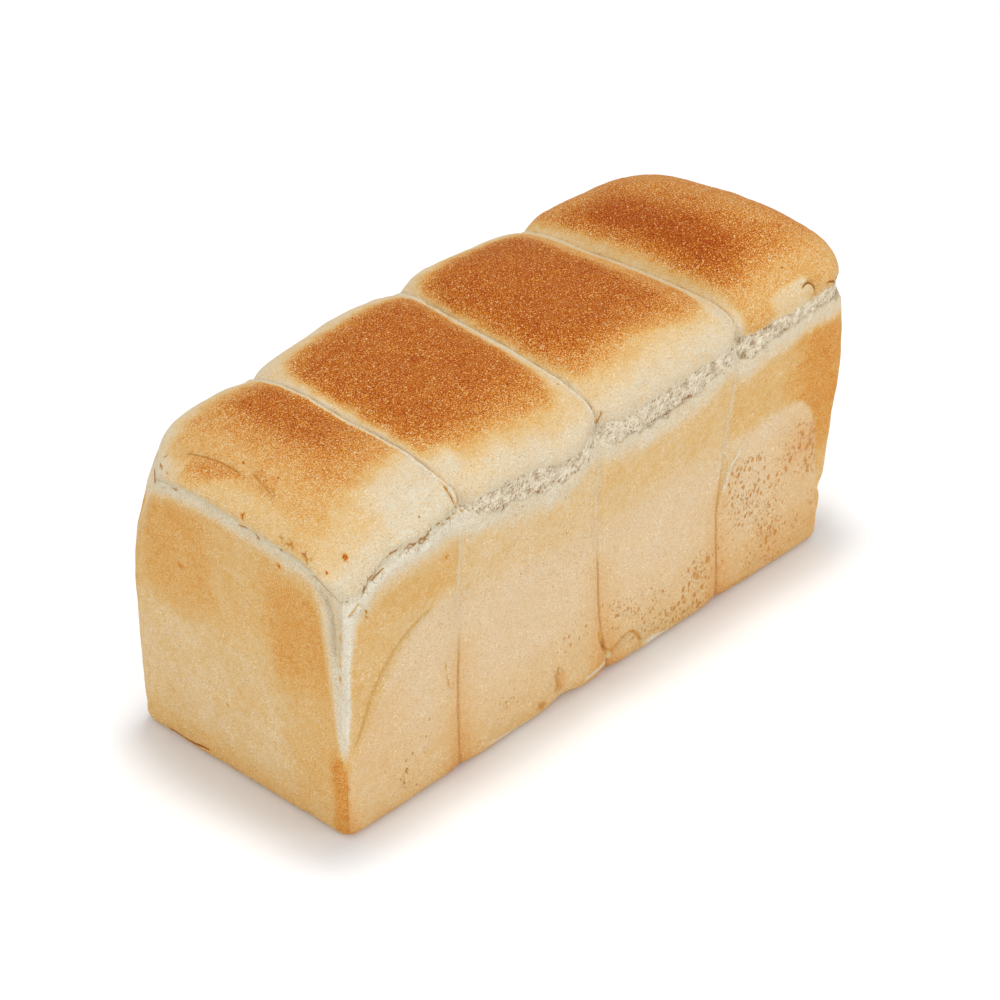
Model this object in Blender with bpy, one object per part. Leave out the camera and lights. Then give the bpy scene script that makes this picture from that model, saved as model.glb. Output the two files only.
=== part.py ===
"""A white tin loaf: one piece of bread, baked in a long tin from four dough pieces laid side by side.

The loaf's length runs along X and its width along Y, and it stands on z = 0, which is the flat baked
underside. Each dough piece fills its part of the tin, so the walls are nearly flat and lean out with the
tin. Above the tin the dough rose free: the crust tore all round, and the pieces ended as four domes.
"""

import math

import bmesh
import bpy
import numpy as np

# Driving dimensions, in metres. Along the loaf the near end is at -X, and across it the front is at -Y.
WALL_FOOT = {"near": 0.1300, "far": 0.1390, "front": 0.0550, "back": 0.0550}  # from the middle, at z = 0
WALL_LEAN = {"near": 0.041, "far": 0.085, "front": 0.032, "back": 0.020}  # outwards for each metre up
FRONT_TWIST = 0.025  # how much more the front wall leans at the far end than at the near one
FOOT_RADIUS = 0.004
CORNER_RADIUS = {"foot": 0.005, "near_front": 0.013, "near_back": 0.034, "far_front": 0.020, "far_back": 0.026}
CORNER_OPENING = 5  # power of the height by which a corner's radius grows from the foot to the tear

TEAR_HEIGHT = 0.1210  # the torn line's usual height round the loaf
TEAR_DROOP = {"near": 0.013, "far": 0.003}  # how far it drops into the corners at the two ends
TEAR_DROOP_POWER = {"along": 9, "across": 5}  # a higher one keeps the drop closer to the corner
TEAR_WAVER = {"height": 0.0008, "along": 9, "across": 2}
# Where the torn line dips or rises: the wall, the place along it from -1 to 1, the drop and the half-length.
TEAR_DIPS = (("front", -0.90, 0.006, 0.07), ("front", -0.155, 0.0055, 0.09), ("near", 0.25, -0.003, 0.45))
TEAR_BAND = {"height": 0.007, "recess": 0.0015}
RIM_POWER = 8  # a higher one keeps the walls' relief closer to the crown's edge
SEAM_GROOVE = {"depth": 0.0009, "half_width": 0.0025}  # on the walls
SEAM_NOTCH = {"depth": 0.0035, "half_width": 0.007, "height": 0.02}  # where a seam meets the tear
WALL_SWELL = 0.0008  # how far each dough piece's wall stands out at its middle

# The four domes, from the near end to the far one: the top above the torn line, and the powers of their
# rounded outline across the loaf, of which a higher one is squarer.
DOME_RISE = (0.0190, 0.0205, 0.0215, 0.0255)
FRONT_POWER = (2.4, 2.9, 4.6, 2.4)
BACK_POWER = (2.1, 4.2, 3.6, 1.8)
DOME_POWER = (4.0, 4.0, 4.0, 3.0)  # along each piece
DOME_TILT = (0.0, -0.05, 0.0, 0.25)  # share by which the front of a dome stands above its middle
END_POWER = {"near": 2.8, "far": 8.0}
VALLEY_DEPTH = (0.0035, 0.0060, 0.0105)  # each seam's valley below the lower dome beside it

# Each seam's X at the foot, half-way up and at the tear, on the front wall and on the back one, and how
# far it bows on the crown.
SEAMS = (
    {"front": (-0.0715, -0.0740, -0.0735), "back": (-0.0745, -0.0715, -0.0725), "bow": -0.0015},
    {"front": (0.0125, 0.0015, 0.0010), "back": (-0.0010, 0.0035, 0.0075), "bow": -0.0045},
    {"front": (0.0775, 0.0730, 0.0825), "back": (0.0740, 0.0780, 0.0795), "bow": -0.0030},
)

# Grid cells along, across and up the loaf; the first is a multiple of four, so that lines follow the seams.
CELLS = (52, 22, 24)
CROWDING = {"seam": 0.35, "edge": 0.45, "up": 0.55}  # how much the lines draw together there
FLAT = 1e-6  # what counts as no distance


def crowded(t, share):
    """t from 0 to 1, with its steps drawn together at both ends."""
    return t - share * np.sin(2 * math.pi * t) / (2 * math.pi)


def through(values, t):
    """The curve that has the three values at t = 0, 0.5 and 1."""
    start, middle, end = values
    return start * (1 - t) * (1 - 2 * t) + middle * 4 * t * (1 - t) + end * t * (2 * t - 1)


def between_domes(values, line):
    """One value for each dome, run smoothly from one dome's middle to the next."""
    return np.interp(line, (0.5, 1.5, 2.5, 3.5), values)


def tear_height(along, across):
    """Height of the torn line over a place in plan, with both places from -1 to 1."""
    droop = np.where(along < 0, TEAR_DROOP["near"], TEAR_DROOP["far"])
    corner = np.abs(along) ** TEAR_DROOP_POWER["along"] * np.abs(across) ** TEAR_DROOP_POWER["across"]
    waver = np.sin(TEAR_WAVER["along"] * along + TEAR_WAVER["across"] * across) * np.abs(across)
    height = TEAR_HEIGHT - droop * corner + TEAR_WAVER["height"] * waver
    for wall, place, drop, reach in TEAR_DIPS:
        run, towards = (along, across) if wall == "front" else (across, along)
        height = height - drop * np.exp(-(((run - place) / reach) ** 2)) * np.clip(-towards, 0, 1) ** 4
    return height


def walls(along, z):
    """X of the near and far walls and Y of the front and back walls at a height."""
    front_lean = WALL_LEAN["front"] + FRONT_TWIST * (along + 1) / 2
    return (
        -WALL_FOOT["near"] - WALL_LEAN["near"] * z,
        WALL_FOOT["far"] + WALL_LEAN["far"] * z,
        -WALL_FOOT["front"] - front_lean * z,
        WALL_FOOT["back"] + WALL_LEAN["back"] * z,
    )


def seam_x(seam, across, height):
    """X of a seam at a place across the loaf, from -1 to 1, and a height, from 0 at the foot to 1."""
    front = (1 - across) / 2
    wall = front * through(seam["front"], height) + (1 - front) * through(seam["back"], height)
    return wall + seam["bow"] * 4 * front * (1 - front)


def dome_rise(piece, along):
    """Height of the crown above the tear along one piece's middle, from 0 to 1 along the piece."""
    domes = np.array(DOME_RISE)
    valleys = np.minimum(domes[:-1], domes[1:]) - np.array(VALLEY_DEPTH)
    edges = np.concatenate([domes[:1], valleys, domes[-1:]])
    base = edges[piece] * (1 - along) + edges[piece + 1] * along
    swell = domes[piece] - (edges[piece] + edges[piece + 1]) / 2
    return base + swell * (1 - np.abs(2 * along - 1) ** np.array(DOME_POWER)[piece])


def shoulder(line, along, across):
    """Share of the crown's rise left at a place in plan: 1 over the middle and 0 at the tear."""
    power = np.where(across < 0, between_domes(FRONT_POWER, line), between_domes(BACK_POWER, line))
    end = np.where(along < 0, END_POWER["near"], END_POWER["far"])
    tilt = 1 - between_domes(DOME_TILT, line) * across
    return tilt * np.sqrt((1 - np.abs(across) ** power) * (1 - np.clip(np.abs(along), 0, 1) ** end))


def wall_inset(along, reach, z, tear):
    """How far a wall lies inside the tin's own face: at the foot, in the torn band and at the seams."""
    foot = np.clip(1 - z / FOOT_RADIUS, 0, 1)
    inset = FOOT_RADIUS * (1 - np.sqrt(1 - foot**2))
    below = np.clip((tear - z) / TEAR_BAND["height"], 0, 1)
    inset += TEAR_BAND["recess"] * np.sin(math.pi * below) ** 2
    groove = np.exp(-((reach / SEAM_GROOVE["half_width"]) ** 2))
    inset += SEAM_GROOVE["depth"] * groove
    notch = np.exp(-((reach / SEAM_NOTCH["half_width"]) ** 2))
    inset += SEAM_NOTCH["depth"] * notch * np.clip(1 - (tear - z) / SEAM_NOTCH["height"], 0, 1) ** 2
    swell = np.sin(math.pi * along) * np.sin(math.pi * np.clip(z / tear, 0, 1))
    return inset - WALL_SWELL * swell


def corner_radius(along, across, height):
    """Radius in plan of the corner nearest to a place, which grows from the foot up."""
    front = np.where(along < 0, CORNER_RADIUS["near_front"], CORNER_RADIUS["far_front"])
    back = np.where(along < 0, CORNER_RADIUS["near_back"], CORNER_RADIUS["far_back"])
    radius = np.where(across < 0, front, back)
    return CORNER_RADIUS["foot"] + (radius - CORNER_RADIUS["foot"]) * height**CORNER_OPENING


def rounded_corners(x, y, sides, radius):
    """Pulls places in plan from a rectangle's corners onto round ones."""
    near, far, front, back = sides
    past_x = np.clip(1 - np.minimum(x - near, far - x) / radius, 0, 1)
    past_y = np.clip(1 - np.minimum(y - front, back - y) / radius, 0, 1)
    pull_x = radius * past_x * (1 - np.sqrt(1 - past_y**2 / 2))
    pull_y = radius * past_y * (1 - np.sqrt(1 - past_x**2 / 2))
    x = x + pull_x * np.where(x - near < far - x, 1, -1)
    y = y + pull_y * np.where(y - front < back - y, 1, -1)
    return x, y


def loaf_points(u, v, w):
    """Places on the loaf for places on a block: u and v from -1 to 1 in plan, and w from 0 to 1 up."""
    line = (u + 1) * 2
    piece = np.clip(np.floor(line + FLAT), 0, 3).astype(int)
    along = crowded(line - piece, CROWDING["seam"])
    across = 2 * crowded((v + 1) / 2, CROWDING["edge"]) - 1
    top = w > 1 - FLAT
    on_end = np.abs(u) > 1 - FLAT
    height = np.where(top, 1, crowded(w, CROWDING["up"]))
    tear = tear_height(u, across)
    z = tear * height
    near, far, front, back = walls(u, z)
    seams = [seam_x(seam, across, height) for seam in SEAMS]
    edges = np.stack(np.broadcast_arrays(near, *seams, far))
    places = np.arange(len(u))
    x = edges[piece, places] * (1 - along) + edges[piece + 1, places] * along
    reach = np.where(on_end, 1, np.min(np.abs(np.stack(seams) - x), axis=0))
    inset = wall_inset(np.where(on_end, (across + 1) / 2, along), reach, z, tear)
    inset = np.where(top & ~on_end, inset * np.abs(across) ** RIM_POWER, inset)
    share = (x - near) / (far - near)
    near, far, front, back = near + inset, far - inset, front + inset, back - inset
    x = near + share * (far - near)
    y = front + (across + 1) / 2 * (back - front)
    rise = dome_rise(piece, along) * shoulder(line, 2 * share - 1, across)
    z = np.where(top, z + rise, z)
    x, y = rounded_corners(x, y, (near, far, front, back), corner_radius(u, across, height))
    return np.stack([x, y, z], axis=1)


def block_grid():
    """A block from -1 to 1 in plan and from 0 to 1 up, cut into cells along each axis."""
    mesh = bmesh.new()
    bmesh.ops.create_cube(mesh, size=2)
    bmesh.ops.translate(mesh, vec=(0, 0, 1), verts=mesh.verts)
    bmesh.ops.scale(mesh, vec=(1, 1, 0.5), verts=mesh.verts)
    for axis, cells in enumerate(CELLS):
        edges = [e for e in mesh.edges if abs(e.verts[0].co[axis] - e.verts[1].co[axis]) > FLAT]
        bmesh.ops.subdivide_edges(mesh, edges=edges, cuts=cells - 1, use_grid_fill=True)
    return mesh


def crust_material():
    material = bpy.data.materials.new("crust")
    material.use_nodes = True
    shader = material.node_tree.nodes["Principled BSDF"]
    shader.inputs["Base Color"].default_value = (0.68, 0.42, 0.17, 1)
    shader.inputs["Roughness"].default_value = 0.75
    shader.inputs["Metallic"].default_value = 0
    return material


def make_loaf():
    grid = block_grid()
    block = np.array([vertex.co for vertex in grid.verts])
    points = loaf_points(*block.T)
    middle = (points.min(axis=0) + points.max(axis=0)) / 2
    for vertex, place in zip(grid.verts, points - (middle[0], middle[1], 0)):
        vertex.co = place
    underside = [face for face in grid.faces if max(v.co.z for v in face.verts) < FLAT]
    bmesh.ops.dissolve_faces(grid, faces=underside)
    mesh = bpy.data.meshes.new("loaf")
    grid.to_mesh(mesh)
    grid.free()
    mesh.shade_smooth()
    loaf = bpy.data.objects.new("loaf", mesh)
    loaf.data.materials.append(crust_material())
    bpy.context.scene.collection.objects.link(loaf)


for old in list(bpy.data.objects):
    bpy.data.objects.remove(old)
make_loaf()
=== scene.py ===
import math

import bpy
import numpy as np
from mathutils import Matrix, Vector, noise


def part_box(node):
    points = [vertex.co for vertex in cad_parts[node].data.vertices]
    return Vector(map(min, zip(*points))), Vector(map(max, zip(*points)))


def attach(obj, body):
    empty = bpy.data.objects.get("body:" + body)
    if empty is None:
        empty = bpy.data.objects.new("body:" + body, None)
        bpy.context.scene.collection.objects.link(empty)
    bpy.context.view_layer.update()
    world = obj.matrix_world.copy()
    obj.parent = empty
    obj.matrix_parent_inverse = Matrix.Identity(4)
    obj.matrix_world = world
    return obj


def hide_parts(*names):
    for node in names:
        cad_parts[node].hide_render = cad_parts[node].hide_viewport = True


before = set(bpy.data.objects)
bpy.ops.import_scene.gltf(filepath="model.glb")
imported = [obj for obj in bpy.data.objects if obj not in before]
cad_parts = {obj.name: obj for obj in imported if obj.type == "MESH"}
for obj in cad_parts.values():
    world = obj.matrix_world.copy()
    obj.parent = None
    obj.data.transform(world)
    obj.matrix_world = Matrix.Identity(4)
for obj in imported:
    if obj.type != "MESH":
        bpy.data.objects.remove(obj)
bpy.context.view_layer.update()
bpy.context.scene.view_settings.view_transform = "Standard"


# The loaf's form: a length along X and a width along Y, in metres. Places on a block stand for places on
# the loaf: u and v run from -1 to 1 in plan, and w runs from 0 to 1 up each piece.

loafForm = {
    "halfLength": 0.142,
    "halfWidth": 0.0595,
    "wallFoot": {"near": 0.1300, "far": 0.1390, "front": 0.0550, "back": 0.0550},
    "wallLean": {"near": 0.041, "far": 0.085, "front": 0.032, "back": 0.020},
    "frontTwist": 0.025,
    "footRadius": 0.004,
    "footCorner": 0.005,
    "cornerRadius": {"nearFront": 0.013, "nearBack": 0.034, "farFront": 0.020, "farBack": 0.026},
    "cornerOpening": 5,
    "tearHeight": 0.1210,
    "tearDroop": {"near": 0.013, "far": 0.003, "along": 9, "across": 5},
    "tearWaver": {"height": 0.0008, "along": 9, "across": 2},
    "tearDips": (("front", -0.90, 0.006, 0.07), ("front", -0.155, 0.0055, 0.09), ("near", 0.25, -0.003, 0.45),
                 ("front", 0.86, -0.0042, 0.26)),
    "rimPower": 8,
    "seamGroove": {"depth": 0.0009, "halfWidth": 0.0025},
    "seamNotch": {"depth": 0.0035, "halfWidth": 0.007, "height": 0.02},
    "wallSwell": 0.0008,
    "domeRise": (0.0190, 0.0205, 0.0215, 0.0255),
    "frontPower": (2.4, 2.9, 4.6, 2.4),
    "backPower": (2.1, 4.2, 3.6, 1.8),
    "domePower": (4.0, 4.0, 4.0, 3.0),
    "domeTilt": (0.0, -0.05, 0.0, 0.25),
    "endPower": {"near": 2.8, "far": 8.0},
    "valleyDepth": (0.0035, 0.0060, 0.0105),
    "seams": (
        {"front": (-0.0715, -0.0740, -0.0735), "back": (-0.0745, -0.0715, -0.0725), "bow": -0.0015},
        {"front": (0.0125, 0.0015, 0.0010), "back": (-0.0010, 0.0035, 0.0075), "bow": -0.0045},
        {"front": (0.0775, 0.0730, 0.0825), "back": (0.0740, 0.0780, 0.0795), "bow": -0.0030},
    ),
    "seamCrowding": 0.35,
    "flat": 1e-6,
}


def smooth(low, high, value):
    t = np.clip((value - low) / (high - low), 0, 1)
    return t * t * (3 - 2 * t)


def bump(value, middle, reach):
    return np.exp(-(((value - middle) / reach) ** 2))


def crowded(t, share):
    return t - share * np.sin(2 * math.pi * t) / (2 * math.pi)


def through(values, t):
    start, middle, end = values
    return start * (1 - t) * (1 - 2 * t) + middle * 4 * t * (1 - t) + end * t * (2 * t - 1)


def betweenDomes(values, line):
    return np.interp(line, (0.5, 1.5, 2.5, 3.5), values)


def rough(places, size, seed):
    # Perlin noise from -1 to 1, whose features are about size metres across
    shift = Vector((seed * 17.3, seed * -9.1, seed * 5.7))
    return np.array([noise.noise(Vector(p) + shift) for p in places / size]) * 1.6


def unevenness(points, layers):
    # Noise in layers, each with its size, its depth and its seed
    return sum(depth * rough(points, size, seed) for size, depth, seed in layers)


def fade(rule, value):
    # An amount that is nothing where the value is at the rule's second number, and full at its third
    amount, nothing, full = rule
    return amount * smooth(nothing, full, value)


def tearHeight(along, across):
    droop, waver = loafForm["tearDroop"], loafForm["tearWaver"]
    corner = np.abs(along) ** droop["along"] * np.abs(across) ** droop["across"]
    height = loafForm["tearHeight"] - np.where(along < 0, droop["near"], droop["far"]) * corner
    height += waver["height"] * np.sin(waver["along"] * along + waver["across"] * across) * np.abs(across)
    for wall, place, drop, reach in loafForm["tearDips"]:
        run, towards = (along, across) if wall == "front" else (across, along)
        height = height - drop * bump(run, place, reach) * np.clip(-towards, 0, 1) ** 4
    return height


def wallsAt(along, z):
    foot, lean = loafForm["wallFoot"], loafForm["wallLean"]
    frontLean = lean["front"] + loafForm["frontTwist"] * (along + 1) / 2
    return (
        -foot["near"] - lean["near"] * z,
        foot["far"] + lean["far"] * z,
        -foot["front"] - frontLean * z,
        foot["back"] + lean["back"] * z,
    )


def seamX(seam, across, height):
    front = (1 - across) / 2
    wall = front * through(seam["front"], height) + (1 - front) * through(seam["back"], height)
    return wall + seam["bow"] * 4 * front * (1 - front)


def domeRise(piece, along):
    domes = np.array(loafForm["domeRise"])
    valleys = np.minimum(domes[:-1], domes[1:]) - np.array(loafForm["valleyDepth"])
    edges = np.concatenate([domes[:1], valleys, domes[-1:]])
    base = edges[piece] * (1 - along) + edges[piece + 1] * along
    swell = domes[piece] - (edges[piece] + edges[piece + 1]) / 2
    return base + swell * (1 - np.abs(2 * along - 1) ** np.array(loafForm["domePower"])[piece])


def shoulder(line, along, across):
    front, back = (betweenDomes(loafForm[key], line) for key in ("frontPower", "backPower"))
    power = np.where(across < 0, front, back)
    end = np.where(along < 0, loafForm["endPower"]["near"], loafForm["endPower"]["far"])
    tilt = 1 - betweenDomes(loafForm["domeTilt"], line) * across
    return tilt * np.sqrt((1 - np.abs(across) ** power) * (1 - np.clip(np.abs(along), 0, 1) ** end))


def cornerRadius(along, across, height):
    radii = loafForm["cornerRadius"]
    front = np.where(along < 0, radii["nearFront"], radii["farFront"])
    back = np.where(along < 0, radii["nearBack"], radii["farBack"])
    foot, opened = loafForm["footCorner"], height ** loafForm["cornerOpening"]
    return foot + (np.where(across < 0, front, back) - foot) * opened


def roundCorners(x, y, sides, radius):
    near, far, front, back = sides
    pastX = np.clip(1 - np.minimum(x - near, far - x) / radius, 0, 1)
    pastY = np.clip(1 - np.minimum(y - front, back - y) / radius, 0, 1)
    pullX = radius * pastX * (1 - np.sqrt(1 - pastY**2 / 2))
    pullY = radius * pastY * (1 - np.sqrt(1 - pastX**2 / 2))
    x = x + pullX * np.where(x - near < far - x, 1, -1)
    y = y + pullY * np.where(y - front < back - y, 1, -1)
    return x, y


class Places:
    # Where a block's points lie on the loaf, with all that the relief and the colours need to know.
    def __init__(self, u, v, edgeCrowding):
        line = (u + 1) * 2
        self.u, self.v = u, v
        self.line = line
        self.piece = np.clip(np.floor(line + loafForm["flat"]), 0, 3).astype(int)
        self.along = crowded(line - self.piece, loafForm["seamCrowding"])
        self.across = 2 * crowded((v + 1) / 2, edgeCrowding) - 1
        self.onEnd = np.abs(u) > 1 - loafForm["flat"]
        self.onSide = np.abs(v) > 1 - loafForm["flat"]
        self.onRim = self.onEnd | self.onSide
        self.tear = tearHeight(u, self.across)
        self.faces = {
            "front": ~self.onEnd & self.onSide & (v < 0),
            "back": ~self.onEnd & self.onSide & (v > 0),
            "near": self.onEnd & (u < 0),
            "far": self.onEnd & (u > 0),
        }

    def lay(self, z, height, inset, crown=False):
        # Puts each point at a height, so far inside the tin's faces, and on the crown if asked
        near, far, front, back = wallsAt(self.u, z)
        seams = [seamX(seam, self.across, height) for seam in loafForm["seams"]]
        edges = np.stack(np.broadcast_arrays(near, *seams, far))
        here = np.arange(len(self.u))
        x = edges[self.piece, here] * (1 - self.along) + edges[self.piece + 1, here] * self.along
        self.fromSeam = np.stack(seams) - x
        nearest = np.argmin(np.abs(self.fromSeam), axis=0)
        self.pastSeam = -self.fromSeam[nearest, here]
        self.reach = np.abs(self.pastSeam)
        inset = inset + self.seamInset(z)
        inset = np.where(crown & ~self.onRim, inset * np.abs(self.across) ** loafForm["rimPower"], inset)
        share = (x - near) / (far - near)
        near, far, front, back = near + inset, far - inset, front + inset, back - inset
        x = near + share * (far - near)
        y = front + (self.across + 1) / 2 * (back - front)
        rise = domeRise(self.piece, self.along) * shoulder(self.line, 2 * share - 1, self.across)
        z = np.where(crown, z + rise, z)
        radius = cornerRadius(self.u, self.across, height)
        x, y = roundCorners(x, y, (near, far, front, back), radius)
        return np.stack([x, y, z], axis=1)

    def seamInset(self, z):
        groove, notch = loafForm["seamGroove"], loafForm["seamNotch"]
        inset = groove["depth"] * bump(self.reach, 0, groove["halfWidth"])
        up = np.clip(1 - (self.tear - z) / notch["height"], 0, 1) ** 2
        inset += notch["depth"] * bump(self.reach, 0, notch["halfWidth"]) * up
        return np.where(self.onEnd, 0, inset)


# Blocks: each piece starts as a cube that is cut into cells and then laid on the loaf.

def deselectAll():
    if bpy.context.mode != "OBJECT":
        bpy.ops.object.mode_set(mode="OBJECT")
    bpy.ops.object.select_all(action="DESELECT")


def selectEdgesAlong(axis, meshData):
    ends = np.zeros(len(meshData.edges) * 2, int)
    meshData.edges.foreach_get("vertices", ends)
    places = np.zeros(len(meshData.vertices) * 3)
    meshData.vertices.foreach_get("co", places)
    places = places.reshape(-1, 3)[ends.reshape(-1, 2)]
    chosen = np.abs(places[:, 0, axis] - places[:, 1, axis]) > loafForm["flat"]
    meshData.edges.foreach_set("select", chosen)


def addBlock(name, cells):
    deselectAll()
    bpy.ops.mesh.primitive_cube_add(size=2, location=(0, 0, 1))
    block = bpy.context.object
    block.name = name
    bpy.ops.object.transform_apply(location=True)
    bpy.ops.object.mode_set(mode="EDIT")
    bpy.ops.transform.resize(value=(1, 1, 0.5), center_override=(0, 0, 0))
    bpy.ops.mesh.select_mode(type="EDGE")
    for axis, steps in enumerate(cells):
        for step in steps:
            bpy.ops.mesh.select_all(action="DESELECT")
            bpy.ops.object.mode_set(mode="OBJECT")
            selectEdgesAlong(axis, block.data)
            bpy.ops.object.mode_set(mode="EDIT")
            bpy.ops.mesh.subdivide(number_cuts=step - 1)
    bpy.ops.object.mode_set(mode="OBJECT")
    return block


def dissolveFlat(block, level):
    # Makes the cells of the face at that height one face
    deselectAll()
    block.select_set(True)
    bpy.context.view_layer.objects.active = block
    bpy.ops.object.mode_set(mode="EDIT")
    bpy.ops.mesh.select_mode(type="FACE")
    bpy.ops.mesh.select_all(action="DESELECT")
    bpy.ops.object.mode_set(mode="OBJECT")
    meshData = block.data
    centres = np.zeros(len(meshData.polygons) * 3)
    meshData.polygons.foreach_get("center", centres)
    chosen = np.abs(centres.reshape(-1, 3)[:, 2] - level) < loafForm["flat"]
    meshData.polygons.foreach_set("select", chosen)
    bpy.ops.object.mode_set(mode="EDIT")
    bpy.ops.mesh.dissolve_faces()
    bpy.ops.object.mode_set(mode="OBJECT")


def pointsOf(piece):
    places = np.zeros(len(piece.data.vertices) * 3)
    piece.data.vertices.foreach_get("co", places)
    return places.reshape(-1, 3)


def setPoints(piece, places):
    piece.data.vertices.foreach_set("co", np.ascontiguousarray(places, np.float32).ravel())
    piece.data.update()


def outwardsOf(piece):
    normals = np.zeros(len(piece.data.vertices) * 3, np.float32)
    piece.data.vertex_normals.foreach_get("vector", normals)
    return normals.reshape(-1, 3)


def setMask(piece, name, values, low=0, high=1):
    layer = piece.data.attributes.new(name, "FLOAT", "POINT")
    layer.data.foreach_set("value", np.clip(values, low, high).astype(np.float32))


def startPiece(name, values, flatLevels):
    # A block cut into cells, where its points lie on the loaf, and how high each is in the block
    block = addBlock(name, values["cells"])
    for level in flatLevels:
        dissolveFlat(block, level)
    u, v, w = pointsOf(block).T
    return block, Places(u, v, values["edgeCrowding"]), w


def layOnLoaf(piece, points):
    # Puts the piece's points in the frame, and gives the directions in which its relief stands out
    setPoints(piece, points - formMiddle)
    piece.data.shade_smooth()
    return outwardsOf(piece)


def finishPiece(piece, material):
    piece.data.materials.append(material)
    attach(piece, "root")
    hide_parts("loaf")


# Where the crust is torn: the torn band along each wall, as (place, height, depth), and the shallow valley
# where it is closed. Beside the closed tear, lines and relief are kept quiet.
tornBand = {
    "front": ((-1, 0.0002, 0), (-0.56, 0.0004, 0), (-0.5, 0.003, 0.0004), (-0.44, 0.006, 0.0008),
              (-0.33, 0.011, 0.0012), (-0.2, 0.011, 0.0014), (-0.05, 0.0065, 0.001), (0, 0.006, 0.0009),
              (0.05, 0.0095, 0.0008), (0.12, 0.011, 0.0009), (0.22, 0.013, 0.0013), (0.34, 0.0105, 0.0013),
              (0.43, 0.006, 0.001), (0.49, 0.0045, 0.0006), (0.52, 0.01, 0.001), (0.56, 0.0118, 0.0014),
              (0.66, 0.0082, 0.0012), (0.8, 0.0068, 0.001), (0.92, 0.008, 0.0013), (1, 0.0098, 0.003)),
    "back": ((-1, 0.0004, 0), (-0.6, 0.004, 0.0008), (-0.5, 0.003, 0.0008), (-0.2, 0.008, 0.0014),
             (0, 0.005, 0.0012), (0.3, 0.009, 0.0014), (0.5, 0.004, 0.001), (0.75, 0.007, 0.0012),
             (1, 0.006, 0.0012)),
    "near": ((-1, 0.0002, 0), (1, 0.0004, 0)),
    "far": ((-1, 0.0098, 0.003), (-0.85, 0.0075, 0.0014), (0, 0.006, 0.0012), (1, 0.006, 0.001)),
    "closed": (0.0010, 0.0002),
    "creamReach": {"front": 0.0072, "back": 0.0075, "near": 0.0050, "far": 0.0075},
    "valley": {"depth": 0.0006, "reach": 0.0028, "torn": 0.55},
    "quiet": {"lines": 0.0035, "relief": 0.0040},
}


def bandAt(places, column):
    # The torn band's height (column 1) or depth (column 2) at each place round the loaf
    values = np.zeros(len(places.u))
    for face, chosen in places.faces.items():
        run = places.u if face in ("front", "back") else places.across
        table = np.array(tornBand[face])
        values[chosen] = np.interp(run[chosen], table[:, 0], table[:, column])
    return values


def closedShare(places):
    # How far the band is closed: 1 where wall and crown meet in a shallow valley
    return smooth(*tornBand["closed"], bandAt(places, 2))


# Baking: 0 is raw cream, about 0.45 gold and 1 the darkest brown. A patch keeps its level over a run and a
# rise of its face, and fades out over its soft edges: left, right, low and high. It can have round corners,
# and lean.
def patch(run, rise, soft, level, corner=0, lean=0):
    return {"run": run, "rise": rise, "soft": soft, "level": level, "corner": corner, "lean": lean}


crownBaking = (
    patch((-1.1, -0.78), (-0.8, 0.4), (0.1, 0.06, 0.15, 0.3), 0.37),
    patch((-1.1, -0.86), (-0.62, 0.06), (0.1, 0.08, 0.16, 0.2), 0.43),
    patch((-0.86, -0.53), (-0.46, 0.7), (0.09, 0.03, 0.3, 0.24), 0.54),
    patch((-0.72, -0.53), (-0.26, 0.62), (0.12, 0.03, 0.36, 0.24), 0.7),
    patch((-0.66, -0.57), (0.04, 0.52), (0.08, 0.06, 0.42, 0.24), 0.88),
    patch((-0.57, -0.48), (-1.1, -0.72), (0.22, 0.01, 0.1, 0.3), 0.18),
    patch((-0.475, -0.03), (-0.86, 0.72), (0.02, 0.03, 0.12, 0.2), 0.32),
    patch((-0.435, -0.065), (-0.7, 0.66), (0.07, 0.05, 0.22, 0.16), 0.6, corner=0.8, lean=0.03),
    patch((-0.44, -0.06), (-0.48, 0.64), (0.05, 0.04, 0.3, 0.16), 0.78, corner=0.9, lean=0.03),
    patch((-0.5, -0.425), (-1.1, -0.76), (0.02, 0.06, 0.1, 0.18), 0.22),
    patch((-0.39, -0.11), (-0.3, 0.52), (0.1, 0.06, 0.45, 0.2), 0.9, corner=0.5),
    patch((0.02, 0.4), (-0.86, 0.74), (0.02, 0.02, 0.12, 0.2), 0.34),
    patch((0.045, 0.415), (-0.7, 0.68), (0.06, 0.04, 0.2, 0.16), 0.6, corner=0.8),
    patch((0.28, 0.405), (-0.6, -0.36), (0.1, 0.05, 0.24, 0.24), 0.7),
    patch((0.05, 0.355), (-0.52, 0.66), (0.05, 0.04, 0.28, 0.16), 0.79, corner=0.9),
    patch((0.1, 0.335), (-0.36, 0.56), (0.08, 0.04, 0.4, 0.2), 0.92, corner=0.5),
    patch((0.44, 0.55), (-0.72, 1.1), (0.02, 0.02, 0.16, 0.1), 0.33),
    patch((0.505, 0.56), (-0.8, 0.9), (0.01, 0.02, 0.16, 0.1), 0.38),
    patch((0.56, 1.1), (-1.1, 1.1), (0.04, 0.1, 0.1, 0.1), 0.54),
    patch((0.68, 0.755), (-1.1, -0.955), (0.05, 0.012, 0.1, 0.03), 0.3),
    patch((0.6, 1.1), (-0.66, 1.1), (0.06, 0.1, 0.26, 0.1), 0.71),
    patch((0.6, 0.72), (-0.55, 0.62), (0.05, 0.1, 0.25, 0.2), 0.84),
    patch((0.64, 0.68), (-0.38, 0.48), (0.05, 0.07, 0.3, 0.2), 1),
)
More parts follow.
